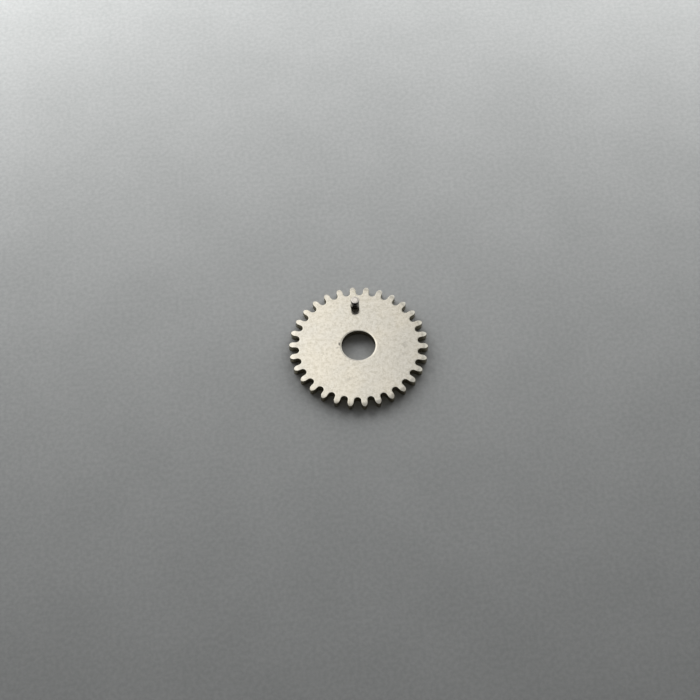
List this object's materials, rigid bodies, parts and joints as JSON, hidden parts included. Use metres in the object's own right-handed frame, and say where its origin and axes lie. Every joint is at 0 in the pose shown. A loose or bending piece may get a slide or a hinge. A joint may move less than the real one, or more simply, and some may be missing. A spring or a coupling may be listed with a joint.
{
  "type": "date indicator driving wheel",
  "caption": "Thin flat toothed wheel for watch calendar work, with a plain central bore and one upright drive pin riveted near the rim.",
  "frame": {"origin": "on the bore's axis, in the plane of the wheel's underside", "axes": "+Z along the bore's axis, towards the side the pin stands on; +Y along the centre line of the tooth next to the pin"},
  "size_m": [0.0064, 0.0066, 0.0009],
  "materials": {
    "wheel_plate": "fine satin, nickel plated",
    "pin_steel": "polished"
  },
  "bodies": {
    "root": {"toothed_wheel": "wheel_plate", "drive_pin": "pin_steel"}
  },
  "joints": []
}
